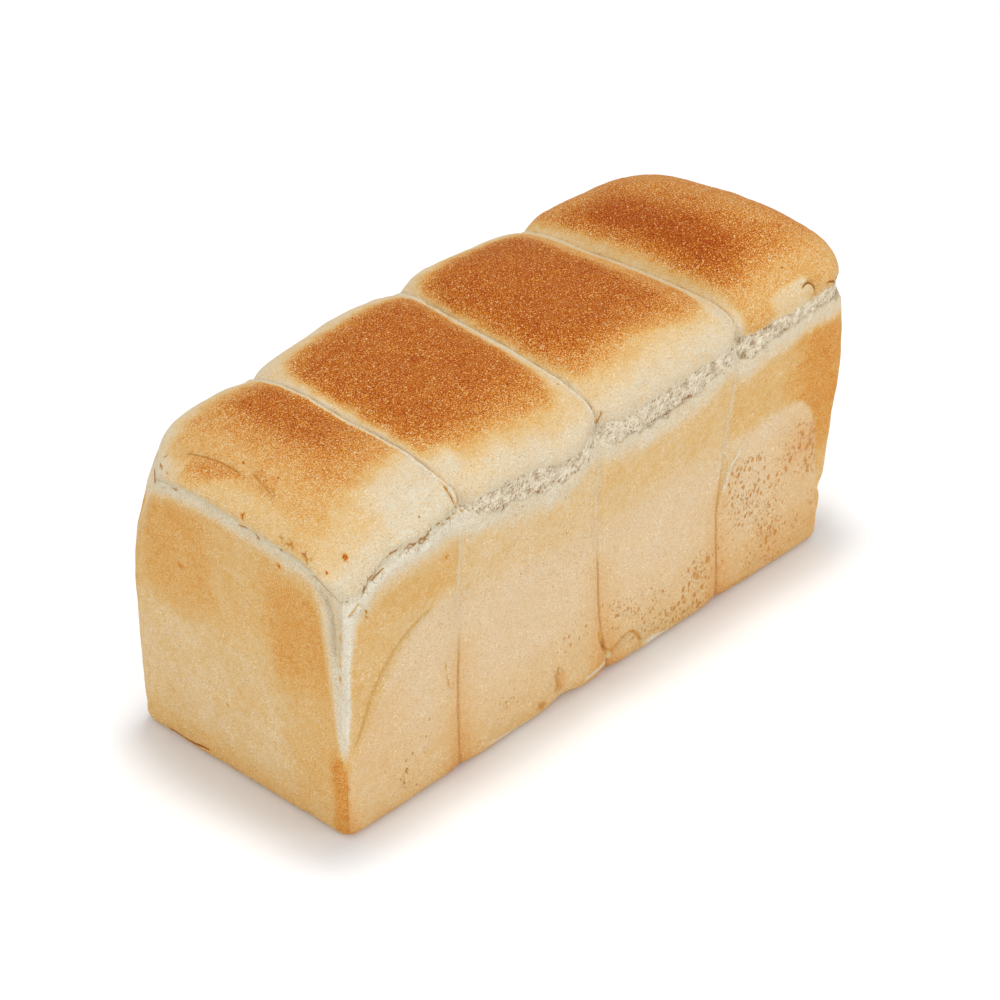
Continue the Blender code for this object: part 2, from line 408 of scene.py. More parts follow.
sideBaking = (
    patch((-0.9, -0.52), (0.78, 0.86), (0.1, 0.03, 0.1, 0.07), 0.48),
    patch((-0.97, -0.8), (0.25, 0.76), (0.03, 0.12, 0.15, 0.1), 0.44),
    patch((-0.48, -0.02), (0.7, 0.85), (0.02, 0.02, 0.12, 0.08), 0.35),
    patch((0.02, 0.48), (0.68, 0.86), (0.02, 0.02, 0.12, 0.08), 0.39),
    patch((0.52, 0.78), (0.68, 0.86), (0.02, 0.1, 0.08, 0.08), 0.46),
    patch((0.83, 0.95), (0.48, 0.86), (0.16, 0.05, 0.3, 0.08), 0.64),
    patch((0.74, 1.1), (-0.1, 0.12), (0.2, 0.1, 0.1, 0.18), 0.52),
)
endBaking = (
    patch((-1.1, 1.1), (0.66, 0.92), (0.2, 0.2, 0.24, 0.06), 0.47),
    patch((0.3, 0.72), (0.68, 0.9), (0.24, 0.12, 0.18, 0.06), 0.56),
    patch((-0.8, -0.5), (0.58, 0.84), (0.16, 0.24, 0.22, 0.1), 0.6),
    patch((-1.1, -0.7), (0.1, 0.45), (0.3, 0.4, 0.1, 0.25), 0.48),
    patch((-1.1, -0.92), (0.06, 0.3), (0.1, 0.1, 0.1, 0.08), 0.66),
)


def addPatches(level, patches, run, rise, wobble):
    for area in patches:
        (start, end), (bottom, top), corner = area["run"], area["rise"], area["corner"]
        left, right, low, high = area["soft"]
        place = run - area["lean"] * rise
        pastRun = np.maximum((start - place) / left, (place - end) / right)
        pastRise = np.maximum((bottom - rise) / low, (rise - top) / high)
        past = np.hypot(np.maximum(pastRun + corner, 0), np.maximum(pastRise + corner, 0)) - corner
        level = level + (area["level"] - level) * smooth(1, 0, past + wobble)
    return level


# Creases and folds: thin lines over a face, each along a curve through a few points in metres: x and y on the
# crown, x and z on the long sides, y and z on the ends. A lip is raised beside the line, tint is how much of
# its colour shows, ends is the share of its length over which it fades out, and broken is the size of its
# gaps. Beside it, on its left (1) or its right (-1), a strip takes another level of baking or tearing.
creases = {
    "crown": (
        dict(line=((-0.131, 0.0343), (-0.1296, 0.0252), (-0.1288, 0.015), (-0.1291, 0.004)),
             width=0.00028, depth=0.0005, lip=0.0004, level=0.68, tint=0.85,
             beside=(dict(side=-1, reach=0.015, start=0.2, mask="baking", level=0.66),)),
        dict(line=((-0.1264, 0.0036), (-0.1278, -0.0018), (-0.1291, -0.0071), (-0.1305, -0.0121)),
             width=0.00028, depth=0.0005, lip=0.0004, level=0.66, tint=0.8,
             beside=(dict(side=-1, reach=0.0038, start=0.35, mask="baking", level=0.6),
                     dict(side=1, reach=0.006, start=0.1, mask="baking", level=0.64))),
        dict(line=((-0.1276, -0.0101), (-0.13, -0.0118), (-0.1326, -0.0127)),
             width=0.00025, depth=0.0003, lip=0.0004, level=0.64, tint=0.6),
        dict(line=((-0.1291, 0.004), (-0.1275, 0.003), (-0.1264, 0.0036)),
             width=0.0006, depth=-0.0004, level=0.35, tint=0.7),
        dict(line=((-0.1315, 0.0415), (-0.1335, 0.0429), (-0.1352, 0.0425), (-0.138, 0.0372),
                   (-0.1406, 0.032)),
             width=0.0004, depth=0.0005, level=0.7, tint=0.9, broken=0.0022),
        dict(line=((-0.1404, -0.0235), (-0.1398, -0.0314), (-0.14, -0.0367), (-0.1405, -0.0415)),
             width=0.0009, depth=0.0005, lip=0.0003, level=0.72, tint=0.9, broken=0.0018),
    ),
    "front": (
        dict(line=((0.1072, 0.1303), (0.111, 0.1311), (0.1128, 0.1304), (0.1141, 0.1284), (0.1153, 0.1253)),
             width=0.0004, depth=0.0007, lip=0.0005, level=0.8, tint=0.9,
             beside=(dict(side=-1, reach=0.008, mask="baking", level=0.3),)),
        dict(line=((0.1215, 0.1272), (0.125, 0.1262), (0.1285, 0.124), (0.1325, 0.121)),
             width=0.00045, depth=0.0008, lip=0.0004, level=1, tint=0.9),
        dict(line=((-0.1354, 0.0422), (-0.1331, 0.0461), (-0.1294, 0.0557), (-0.1256, 0.0648),
                   (-0.115, 0.0773), (-0.1024, 0.0841), (-0.0893, 0.0876)),
             width=0.0008, depth=0.0006, lip=0.0004, level=0.54, tint=0.7),
        dict(line=((-0.0022, 0.0249), (-0.0004, 0.0185), (0.0022, 0.013), (0.0055, 0.0112),
                   (0.0085, 0.0118), (0.012, 0.0142), (0.016, 0.0148), (0.0188, 0.013), (0.0215, 0.0092),
                   (0.023, 0.005)),
             width=0.0008, depth=0.001, lip=0.0006, level=0.58, ends=0.06),
        dict(line=((0.0058, 0.01), (0.0032, 0.0088), (0.001, 0.0068), (-0.005, 0.006), (-0.0105, 0.0052)),
             width=0.0008, depth=-0.0006, level=0.08, tint=0.9),
        dict(line=((0.0228, 0.0046), (0.0319, 0.0036), (0.0409, 0.0028)),
             width=0.0018, depth=0, level=0.05, tint=0.9, ends=0.25),
        dict(line=((-0.066, 0.005), (-0.056, 0.0036), (-0.0462, 0.0024), (-0.037, 0.0032)),
             width=0.001, depth=0, level=0.08, tint=0.8, ends=0.25),
        dict(line=((-0.0372, 0.0074), (-0.034, 0.006), (-0.0302, 0.005)),
             width=0.0018, depth=0, level=0.7, tint=0.7, ends=0.3),
        dict(line=((-0.0242, 0.0205), (-0.0256, 0.015), (-0.0246, 0.011), (-0.0264, 0.008)),
             width=0.0008, depth=0.0009, lip=0.0006, level=0.58,
             beside=(dict(side=1, reach=0.006, start=0.15, mask="baking", level=0.56),)),
        dict(line=((-0.0888, 0.059), (-0.0872, 0.05), (-0.0856, 0.043), (-0.0842, 0.0369)),
             width=0.0004, depth=0.0003, level=0.62, tint=0.8, broken=0.003),
        dict(line=((-0.1068, 0.022), (-0.108, 0.015), (-0.1085, 0.009)),
             width=0.0007, depth=0.0004, level=0.76, tint=0.9, broken=0.0014),
        dict(line=((0.0752, 0.073), (0.0738, 0.07), (0.0708, 0.065), (0.069, 0.059), (0.0678, 0.054)),
             width=0.0009, depth=-0.0005, level=0.06, tint=0.9),
        dict(line=((0.0745, 0.069), (0.0731, 0.0661), (0.0718, 0.063), (0.0712, 0.0605)),
             width=0.00035, depth=0.0005, level=0.62, tint=0.8),
        dict(line=((-0.079, 0.1188), (-0.088, 0.1198), (-0.0942, 0.1209), (-0.0985, 0.1188),
                   (-0.1012, 0.1172), (-0.108, 0.119), (-0.116, 0.1203), (-0.1205, 0.1185),
                   (-0.1239, 0.1164), (-0.1292, 0.1132), (-0.1311, 0.1082)),
             width=0.0005, depth=0.0009, level=0.88, tint=0.9, ends=0.05, broken=0.0013,
             beside=(dict(side=-1, reach=0.004, mask="torn", level=0.6),
                     dict(side=1, reach=0.0022, mask="torn", level=0.7))),
        dict(line=((-0.1322, 0.107), (-0.1343, 0.1044), (-0.1366, 0.1016)),
             width=0.0004, depth=0.0006, lip=0.0003, level=0.56, tint=0.9),
        dict(line=((-0.1297, 0.1055), (-0.1294, 0.102), (-0.129, 0.0985)),
             width=0.0005, depth=0.0007, level=0.68, tint=0.9, broken=0.002),
        dict(line=((-0.003, 0.1255), (-0.004, 0.1232), (-0.006, 0.12), (-0.01, 0.1165)),
             width=0.0004, depth=0.0006, level=0.7, tint=0.8),
        dict(line=((-0.082, 0.1295), (-0.0815, 0.1244), (-0.0795, 0.1205), (-0.0772, 0.117)),
             width=0.0004, depth=0.0005, lip=0.0004, level=0.74, tint=0.8),
        dict(line=((-0.1372, 0.101), (-0.1375, 0.0953), (-0.1377, 0.0876), (-0.1375, 0.078),
                   (-0.1372, 0.066), (-0.1366, 0.056)),
             width=0.0007, depth=-0.0007, level=0.08, tint=0.8),
    ),
    "near": (
        dict(line=((-0.043, 0.1186), (-0.0458, 0.1152), (-0.047, 0.112), (-0.0466, 0.106)),
             width=0.0005, depth=0.0006, level=0.66, broken=0.002),
        dict(line=((-0.043, 0.117), (-0.0475, 0.111), (-0.0502, 0.1045), (-0.0512, 0.097), (-0.0514, 0.088),
                   (-0.0512, 0.079)),
             width=0.0022, depth=0.0026, lip=0.0006, level=0.24, tint=0.6, ends=0.2,
             beside=(dict(side=1, reach=0.0036, mask="torn", level=0.7),
                     dict(side=-1, reach=0.0034, mask="torn", level=0.5))),
        dict(line=((-0.0536, 0.1), (-0.0538, 0.092), (-0.0534, 0.083), (-0.0536, 0.071), (-0.053, 0.06),
                   (-0.0526, 0.05)),
             width=0.0007, depth=-0.0007, level=0.04, tint=0.8),
        dict(line=((-0.0526, 0.095), (-0.0528, 0.089), (-0.0524, 0.081), (-0.0526, 0.072)),
             width=0.00035, depth=0.0004, level=0.62, tint=0.8, broken=0.004),
        dict(line=((0.044, 0.0026), (0.0324, 0.003), (0.0187, 0.005)),
             width=0.0006, depth=0.0003, level=0.92, tint=0.9),
        dict(line=((0.0205, 0.1114), (0.0212, 0.1), (0.0223, 0.088)),
             width=0.0006, depth=0.0002, level=0.58, tint=0.6),
    ),
}
# Blisters, crumbs and burnt specks: face, place, size, height above the crust and baking
spots = (
    ("crown", (-0.1306, -0.0478), 0.0014, 0.0005, 0.82),
    ("crown", (-0.1388, -0.0469), 0.0006, 0, 1),
    ("crown", (-0.1407, -0.0070), 0.0011, 0.0004, 0.86),
    ("crown", (-0.1248, 0.0090), 0.0005, 0, 1),
    ("crown", (-0.1229, -0.0075), 0.0005, 0, 1),
    ("crown", (-0.0347, 0.0426), 0.0006, 0, 1),
    ("crown", (-0.0237, 0.0225), 0.0008, 0, 1),
    ("near", (0.0268, 0.0880), 0.0009, 0, 0.86),
    ("near", (0.0078, 0.0335), 0.0009, 0, 0.80),
    ("front", (-0.1366, 0.0245), 0.0010, 0, 0.95),
    ("near", (-0.0259, 0.1135), 0.0011, 0, 0.98),
    ("near", (-0.0375, 0.1024), 0.0008, 0, 0.85),
    ("front", (-0.0885, 0.1044), 0.0009, 0, 0.90),
)
plainCrease = {"lip": 0, "tint": 1, "ends": 0.12, "beside": ()}
lineEdges = {"finest": 0.0006, "seen": 0.02, "margin": 0.006, "besideSoft": 0.0004, "gapShift": 0.0004}


def curveThrough(line, steps=6):
    # A smooth curve through a few points
    points = np.array(line)
    points = np.concatenate([[2 * points[0] - points[1]], points, [2 * points[-1] - points[-2]]])
    t = np.linspace(0, 1, steps, endpoint=False)[:, None]
    curve = []
    for a, b, c, d in zip(points, points[1:], points[2:], points[3:]):
        bend, twist = 2 * a - 5 * b + 4 * c - d, 3 * b - a - 3 * c + d
        curve.append(b + (t * (c - a) + t**2 * bend + t**3 * twist) / 2)
    return np.concatenate(curve + [points[-2:-1]])


def fromCurve(run, rise, curve):
    # How far each place is from a curve, below zero on its right, and how far along the curve, from 0 to 1
    nearest = np.full(len(run), np.inf)
    side, along = np.ones(len(run)), np.zeros(len(run))
    for index, (start, step) in enumerate(zip(curve, np.diff(curve, axis=0))):
        x, y = run - start[0], rise - start[1]
        t = np.clip((x * step[0] + y * step[1]) / (step @ step), 0, 1)
        gap = np.hypot(x - t * step[0], y - t * step[1])
        closer = gap < nearest
        nearest = np.where(closer, gap, nearest)
        side = np.where(closer, np.sign(step[0] * y - step[1] * x), side)
        along = np.where(closer, (index + t) / (len(curve) - 1), along)
    return nearest * side, along


class Skin:
    # What a crust's points carry besides their places: relief in metres, and masks for the material.
    def __init__(self, places, points, faces, toTear):
        self.laid, self.points, self.faces = points, points - formMiddle, faces
        self.closed, self.toTear = closedShare(places), toTear
        self.loose = 1 - self.closed * bump(toTear, 0, tornBand["quiet"]["lines"])
        count = len(points)
        self.relief, self.baking, self.panel, self.torn, self.pits = (np.zeros(count) for _ in range(5))
        self.lineShare, self.lineLevel = np.zeros(count), np.zeros(count)
        self.lineAcross = np.full(count, 8.0)

    def addUnevenness(self, layers):
        quiet = self.closed * bump(self.toTear, 0, tornBand["quiet"]["relief"])
        self.relief += unevenness(self.laid, layers) * (1 - quiet)

    def addValley(self, toFloor, width):
        # Where the tear is closed, wall and crown sink to a line, which is torn as far as width says
        valley = tornBand["valley"]
        self.relief -= valley["depth"] * self.closed * bump(self.toTear, 0, valley["reach"])
        torn = valley["torn"] * self.closed * bump(toFloor, 0, width * valley["reach"])
        self.torn = np.maximum(self.torn, torn)

    def addLine(self, chosen, gap, share, line):
        # Draws a line on the chosen points, whose gaps from it are given, with its groove and its lips
        reach = max(line["width"], lineEdges["finest"])
        groove = line["depth"] * bump(gap, 0, reach)
        lip = line["lip"] * bump(np.abs(gap), 2.2 * reach, 1.1 * reach)
        self.relief[chosen] += (lip - groove) * share * self.loose[chosen]
        across = gap / line["width"]
        closer = (np.abs(across) < np.abs(self.lineAcross[chosen])) & (share > lineEdges["seen"])
        where = np.flatnonzero(chosen)[closer]
        self.lineAcross[where] = across[closer]
        self.lineShare[where] = (share * line["tint"])[closer]
        self.lineLevel[where] = np.broadcast_to(line["level"], len(gap))[closer]

    def addBeside(self, chosen, gap, along, beside):
        # Changes a mask in a strip along one side of a line, narrower towards the line's end
        gap, start = gap * beside["side"], beside.get("start", 0)
        reach = beside["reach"] * smooth(1.15, 0.6, along) + loafForm["flat"]
        within = smooth(0, lineEdges["besideSoft"], gap) * smooth(1, 0.4, gap / reach)
        within *= smooth(start, start + 0.06, along)
        values = getattr(self, beside["mask"])
        values[chosen] += (beside["level"] - values[chosen]) * within

    def addCrease(self, face, crease):
        run, rise = self.across(face)
        curve = curveThrough(crease["line"])
        reaches = [beside["reach"] for beside in crease["beside"]]
        margin = max(lineEdges["margin"], 3 * crease["width"], *reaches)
        chosen = self.faces[face].copy()
        for values, ends in ((run, curve[:, 0]), (rise, curve[:, 1])):
            chosen &= (values > ends.min() - margin) & (values < ends.max() + margin)
        if not chosen.any():
            return
        gap, along = fromCurve(run[chosen], rise[chosen], curve)
        share = smooth(0, crease["ends"], along) * smooth(1, 1 - crease["ends"], along)
        for beside in crease["beside"]:
            self.addBeside(chosen, gap, along, beside)
        if "broken" in crease:
            share *= smooth(-0.25, 0.10, rough(self.points[chosen], crease["broken"], 51))
            gap = gap + lineEdges["gapShift"] * rough(self.points[chosen], crease["broken"], 52)
        self.addLine(chosen, gap, share * smooth(margin, margin / 2, np.abs(gap)), crease)

    def addCreases(self):
        for face in creases:
            for crease in creases[face] if face in self.faces else ():
                self.addCrease(face, {**plainCrease, **crease})

    def addSpots(self):
        for face, place, size, height, level in spots:
            if face in self.faces:
                run, rise = self.across(face)
                share = smooth(size, size * 0.5, np.hypot(run - place[0], rise - place[1])) * self.faces[face]
                self.relief += height * share
                self.baking += (level - self.baking) * share

    def across(self, face):
        # The two coordinates that lines and spots on a face are given in
        first, second = {"crown": (0, 1), "front": (0, 2), "back": (0, 2)}.get(face, (1, 2))
        return self.points[:, first], self.points[:, second]

    def putOn(self, piece, outwards):
        setPoints(piece, self.points + outwards * self.relief[:, None])
        for name in ("baking", "panel", "torn", "pits", "lineShare", "lineLevel"):
            setMask(piece, name, getattr(self, name))
        setMask(piece, "lineAcross", self.lineAcross, -8, 8)


# The tin crust: the four walls and the underside, up to the lower edge of the torn band. The tables of pairs
# run along the side, from the near end.
tinCrust = {
    "cells": ((75, 4), (60, 2), (55, 2)),
    "edgeCrowding": 0.45,
    "heightCrowding": 0.2,
    "rag": {"layers": ((0.004, 0.0011, 4), (0.0017, 0.00088, 5)), "from": 0.85},
    "rollIn": {"from": 0.965, "depth": 0.0008, "rise": 0.0010, "curl": 0.0010},
    "lap": {"rise": 0.0016, "depth": 0.0020, "over": (0.0002, 0.0012), "unrolled": 0.95},
    "footLift": {"radius": 0.002, "reach": 0.007},
    "footWander": {"radius": 0.0014, "size": 0.012},
    "footFlap": {"radius": 0.005, "u": -0.17, "reach": 0.04},
    "farDent": {"height": 0.026, "tall": 0.0035, "reach": 0.007, "depth": 0.0019},
    "unevenness": ((0.030, 0.0005, 1), (0.010, 0.00018, 2), (0.0035, 0.00007, 3)),
    "wobble": ((0.020, 0.10, 11), (0.006, 0.06, 12)),
    "panelTop": ((-1, 0.25), (-0.73, 0.66), (-0.6, 0.72), (-0.5, 0.68), (-0.25, 0.68), (0, 0.62),
                 (0.25, 0.65), (0.498, 0.59), (0.502, 0.38), (0.522, 0.46), (0.552, 0.553), (0.582, 0.61),
                 (0.615, 0.629), (0.65, 0.636), (0.74, 0.64), (0.795, 0.62), (0.832, 0.565), (0.867, 0.48),
                 (0.893, 0.35), (0.92, 0.2), (1, 0.05)),
    "panelSoft": ((-1, 0.05), (-0.5, 0.06), (-0.45, 0.14), (0.45, 0.14), (0.5, 0.03), (0.56, 0.018),
                  (0.8, 0.02), (0.86, 0.05), (1, 0.05)),
    "panel": {"wander": 0.03, "step": 0.00035, "fadedFoot": (0.6, 0.36, 0.02)},
    "pitting": ((-1, 0.2), (-0.8, 0.25), (-0.74, 0.5), (-0.65, 0.25), (-0.45, 0.2), (-0.15, 0.45),
                (-0.02, 0.4), (0.05, 0.6), (0.2, 0.8), (0.42, 0.9), (0.5, 0.2), (0.56, 0.8), (0.9, 0.8),
                (1, 0.2)),
    "pitTop": ((-1, 0.5), (-0.1, 0.48), (0.3, 0.34), (0.48, 0.4), (0.5, 0.66), (1, 0.66)),
    "pits": {"wander": ((0.020, 0.25, 14),), "soft": 0.16},
    "torn": {"from": (0.35, 0.65), "ragged": ((0.0025, 0.25, 18),), "valley": 0.8},
    "crack": {"width": 0.0005, "depth": 0.0004, "lip": 0, "level": 0.78, "tint": 0.9, "below": 0.0012,
              "wander": ((0.006, 0.0012, 16),), "gaps": (0.15, 0.45), "gapSize": 0.0030},
    "seam": {"width": 0.0006, "depth": 0.0003, "lip": 0.00035, "tint": 1, "seen": (0.004, 0.002),
             "foot": (0, 0.03), "faint": 0.45, "clear": (0.55, 0.6, 0.4), "pale": 0.08,
             "brown": (0.46, 0.62, 0.45)},
    "footCalm": 0.004,
}
# How far the walls are baked: in each three numbers, the first is added from the second to the third
wallTones = {
    "side": 0.30,
    "sideLower": (0.11, 0.42, 0.08),
    "sideFoot": (0.12, 0.10, 0),
    "sideEdges": (0.19, 0.66, 0.42),
    "seamReach": 0.008,
    "cornerReach": 0.010,
    "end": 0.36,
    "endFoot": (0.14, 0.18, 0.02),
    "panel": 0.30,
    "panelShare": (0.8, 0.45, 0.60),
}
# The pale dough beside the torn band and down the near front corner
cream = {
    "level": 0.16,
    "paler": (0.15, -0.40, -0.56),
    "wander": ((0.009, 0.14, 13),),
    "streaks": ((0.0022, 0.12, 15),),
    "streakSquash": (1, 1, 0.35),
    "soft": (1.6, 0.3),
    "corner": {"near": ((0.28, 0), (0.42, 0.0040), (0.76, 0.0085), (1, 0.014)),
               "front": ((0.28, 0), (0.42, 0.0028), (0.76, 0.0065), (0.95, 0.012))},
    "cornerSoft": (1.4, 0.6),
    "cornerNarrow": (0, 0.004),
    "thinnest": 1e-5,
}


def footInset(places, z, flatPoints):
    # The foot's rounding, larger at the joins, where it wanders, and under the flap
    lift, wander, flap = (tinCrust[key] for key in ("footLift", "footWander", "footFlap"))
    radius = loafForm["footRadius"] + lift["radius"] * bump(places.reach, 0, lift["reach"])
    radius += wander["radius"] * np.clip(rough(flatPoints * (1, 1, 0), wander["size"], 6), 0, 1)
    radius += flap["radius"] * bump(places.u, flap["u"], flap["reach"]) * places.faces["front"]
    foot = np.clip(1 - z / radius, 0, 1)
    return radius * (1 - np.sqrt(1 - foot**2))


def shapeWalls(places, w):
    # The walls' heights and insets. Their upper edge is ragged and rolls in, and laps into the closed tear.
    roll, lap, rag = (tinCrust[key] for key in ("rollIn", "lap", "rag"))
    closed = closedShare(places)
    opened = 1 - lap["unrolled"] * closed
    share = np.clip(w / roll["from"], 0, 1)
    share = share + tinCrust["heightCrowding"] * share * (1 - share)
    rolled = np.clip((w - roll["from"]) / (1 - roll["from"]), 0, 1)
    z = (places.tear - bandAt(places, 1)) * share
    flatPoints = places.lay(z, z / places.tear, 0)
    z = z + unevenness(flatPoints, rag["layers"]) * (1 - closed) * smooth(rag["from"], 1, share)
    z = z + (roll["rise"] + lap["rise"] * closed) * np.sin(rolled * math.pi / 2)
    inset = footInset(places, z, flatPoints)
    run = np.where(places.onEnd, (places.across + 1) / 2, places.along)
    height = np.clip(z / places.tear, 0, 1)
    inset -= loafForm["wallSwell"] * np.sin(math.pi * run) * np.sin(math.pi * height)
    inset += (roll["depth"] * opened + bandAt(places, 2)) * (1 - np.cos(rolled * math.pi / 2))
    inset += roll["curl"] * opened * rolled**3
    inset += lap["depth"] * closed * smooth(*lap["over"], z - places.tear)
    return z, height, inset, rolled


def addPanels(skin, places, height, wobble):
    # Panels: where the dough was pressed flat by the tin, with the pits that steam left in them
    panel, pits = tinCrust["panel"], tinCrust["pits"]
    run = np.where(places.v < 0, places.u, -places.u)
    top, soft, pitting, pitTop = (
        np.interp(run, *zip(*tinCrust[key])) for key in ("panelTop", "panelSoft", "pitting", "pitTop")
    )
    pressed = smooth(0.5, -0.5, (height - top + panel["wander"] * wobble) / soft)
    skin.panel = pressed * (places.faces["front"] | places.faces["back"])
    skin.relief += panel["step"] * skin.panel
    pitting = np.clip(pitting + unevenness(skin.laid, pits["wander"]), 0, 1)
    skin.pits = pitting * skin.panel * smooth(pitTop, pitTop - pits["soft"], height)


def addFarDent(skin, places, z):
    # A small dent low on the far front corner
    dent, front, far = tinCrust["farDent"], places.faces["front"], places.faces["far"]
    gap = np.where(far, (places.across + 1) * loafForm["halfWidth"], (1 - places.u) * loafForm["halfLength"])
    dented = bump(gap, 0, dent["reach"]) * bump(z, dent["height"], dent["tall"]) * (places.v < 0)
    skin.relief -= dent["depth"] * dented * (front | far)


def wallBaking(places, height, wobble):
    fromCorner = (places.u + 1) * loafForm["halfLength"]
    edges = bump(places.reach, 0, wallTones["seamReach"]) + bump(fromCorner, 0, wallTones["cornerReach"])
    side = wallTones["side"] + fade(wallTones["sideLower"], height) + fade(wallTones["sideFoot"], height)
    side = side + edges * fade(wallTones["sideEdges"], height)
    end = wallTones["end"] + fade(wallTones["endFoot"], height)
    level = np.zeros(len(height))
    for face, chosen in places.faces.items():
        mirror = -1 if face in ("back", "far") else 1
        onSide = face in ("front", "back")
        start, patches = (side, sideBaking) if onSide else (end, endBaking)
        run = (places.u if onSide else places.across) * mirror
        level[chosen] = addPatches(start, patches, run, height, wobble)[chosen]
    return level


def creamShare(places, points, z, height):
    # The pale dough below the torn band, and the pale zone that runs down the near front corner
    reach = sum(chosen * tornBand["creamReach"][face] for face, chosen in places.faces.items())
    toBand = (places.tear - bandAt(places, 1) - z) / reach + unevenness(points, cream["wander"])
    share = smooth(*cream["soft"], toBand + unevenness(points * cream["streakSquash"], cream["streaks"]))
    nearGap, frontGap = (places.across + 1) * loafForm["halfWidth"], (places.u + 1) * loafForm["halfLength"]
    for face, gap in (("near", nearGap), ("front", frontGap)):
        width = np.interp(height, *zip(*cream["corner"][face])) + cream["thinnest"]
        corner = smooth(*cream["cornerSoft"], gap / width) * smooth(*cream["cornerNarrow"], width)
        share = np.where(places.faces[face], np.maximum(share, corner), share)
    return share


def bakeWalls(skin, places, z, height, wobble):
    baking = wallBaking(places, height, wobble)
    paler = np.minimum(baking, wallTones["panel"]) - baking
    baking = baking + paler * skin.panel * fade(wallTones["panelShare"], height)
    share = creamShare(places, skin.laid, z, height)
    pale = cream["level"] - places.faces["front"] * fade(cream["paler"], places.u)
    skin.baking = baking * (1 - share) + pale * share


def addWallTear(skin, places, rolled):
    # The torn upper edge, and a broken crack along the closed tear
    torn, crack = tinCrust["torn"], tinCrust["crack"]
    skin.torn = smooth(*torn["from"], rolled + unevenness(skin.laid, torn["ragged"])) * (1 - skin.closed)
    toFloor = skin.toTear + crack["below"] + unevenness(skin.laid, crack["wander"])
    skin.addValley(toFloor, torn["valley"])
    share = smooth(*crack["gaps"], rough(skin.laid, crack["gapSize"], 17)) * skin.closed
    skin.addLine(places.onRim, toFloor, share, crack)


def addWallSeams(skin, places, height):
    # The joins between the pieces: pale and faint above, brown and clear below
    seam, onSide = tinCrust["seam"], places.faces["front"] | places.faces["back"]
    past, height = places.pastSeam[onSide], height[onSide]
    share = smooth(*seam["seen"], np.abs(past)) * smooth(*seam["foot"], height)
    share = share * (seam["faint"] + fade(seam["clear"], height))
    skin.addLine(onSide, past, share, {**seam, "level": seam["pale"] + fade(seam["brown"], height)})


def makeTinCrust():
    block, places, w = startPiece("tinCrust", tinCrust, (0, 1))
    z, height, inset, rolled = shapeWalls(places, w)
    points = places.lay(z, height, inset)
    outwards = layOnLoaf(block, points)
    skin = Skin(places, points, places.faces, z - places.tear)
    wobble = unevenness(points, tinCrust["wobble"])
    skin.addUnevenness(tinCrust["unevenness"])
    addPanels(skin, places, height, wobble)
    addFarDent(skin, places, z)
    bakeWalls(skin, places, z, height, wobble)
    addWallTear(skin, places, rolled)
    addWallSeams(skin, places, height)
    skin.addCreases()
    skin.addSpots()
    skin.relief *= smooth(0, tinCrust["footCalm"], z)
    skin.panel *= 1 - fade(tinCrust["panel"]["fadedFoot"], height)
    skin.putOn(block, outwards)
    return block


# The crown: four domes joined along their seams, with a rim that turns under at the torn band and is tucked
# inside the walls where the band is closed.
crownCrust = {
    "cells": ((92, 4), (88, 2), (6,)),
    "edgeCrowding": 0.45,
    "rag": {"layers": ((0.005, 0.0008, 24), (0.0018, 0.0004, 25)), "power": 30},
    "rim": {"drop": 0.0007, "depth": 0.004, "follow": 0.5, "unturned": 0.8, "turns": 2},
    "tuck": {"drop": 0.0030, "depth": 0.0005, "turns": 6},
    "unevenness": ((0.030, 0.0006, 21), (0.010, 0.00022, 22), (0.0035, 0.00009, 23)),
    "wobble": ((0.020, 0.10, 31), (0.006, 0.09, 32)),
    "baking": 0.20,
    "torn": {"from": (0.1, 0.5), "valley": 0.6},
    "fuzz": {"rises": (0.5, 0.0020, 0.0002), "wander": ((0.0022, 0.0012, 34),)},
    "seam": {"width": 0.0004, "depth": 0.0007, "lip": 0.0002, "level": 0.64, "tint": 0.85,
             "seen": (0.005, 0.003), "faint": 0.55, "stronger": 0.45, "wander": ((0.004, 0.0003, 35),)},
    "ridge": {"width": 0.0008, "depth": -0.0008, "lip": 0, "level": 0.04, "tint": 0.9, "beside": 0.0011,
              "share": 0.85},
    "rimRelief": 0.3,
}


def shapeCrown(places, crown, under):
    # The crown's heights and insets: a ragged edge, and the rim that turns under it
    rag, rim, tuck = (crownCrust[key] for key in ("rag", "rim", "tuck"))
    closed = closedShare(places)
    flatPoints = places.lay(places.tear, 1, 0, crown)
    edge = np.where(crown, np.maximum(np.abs(places.across), np.abs(places.u)) ** rag["power"], 1)
    drop = rim["drop"] + (tuck["drop"] - rim["drop"]) * closed
    turned = np.sin(np.clip(under * rim["turns"], 0, 1) * math.pi / 2)
    z = places.tear + unevenness(flatPoints, rag["layers"]) * (1 - closed) * edge - drop * turned
    inset = rim["depth"] * under**2 * (1 - rim["unturned"] * closed) + rim["follow"] * bandAt(places, 2)
    return z, inset + tuck["depth"] * closed * np.clip(under * tuck["turns"], 0, 1)


def addCrownTear(skin, crown, under):
    torn, fuzz = crownCrust["torn"], crownCrust["fuzz"]
    skin.torn = np.where(crown, 0, smooth(*torn["from"], under)) * (1 - skin.closed)
    skin.addValley(skin.toTear, torn["valley"])
    fuzzy = fade(fuzz["rises"], skin.toTear + unevenness(skin.laid, fuzz["wander"]))
    skin.torn = np.maximum(skin.torn, fuzzy * (1 - skin.closed))


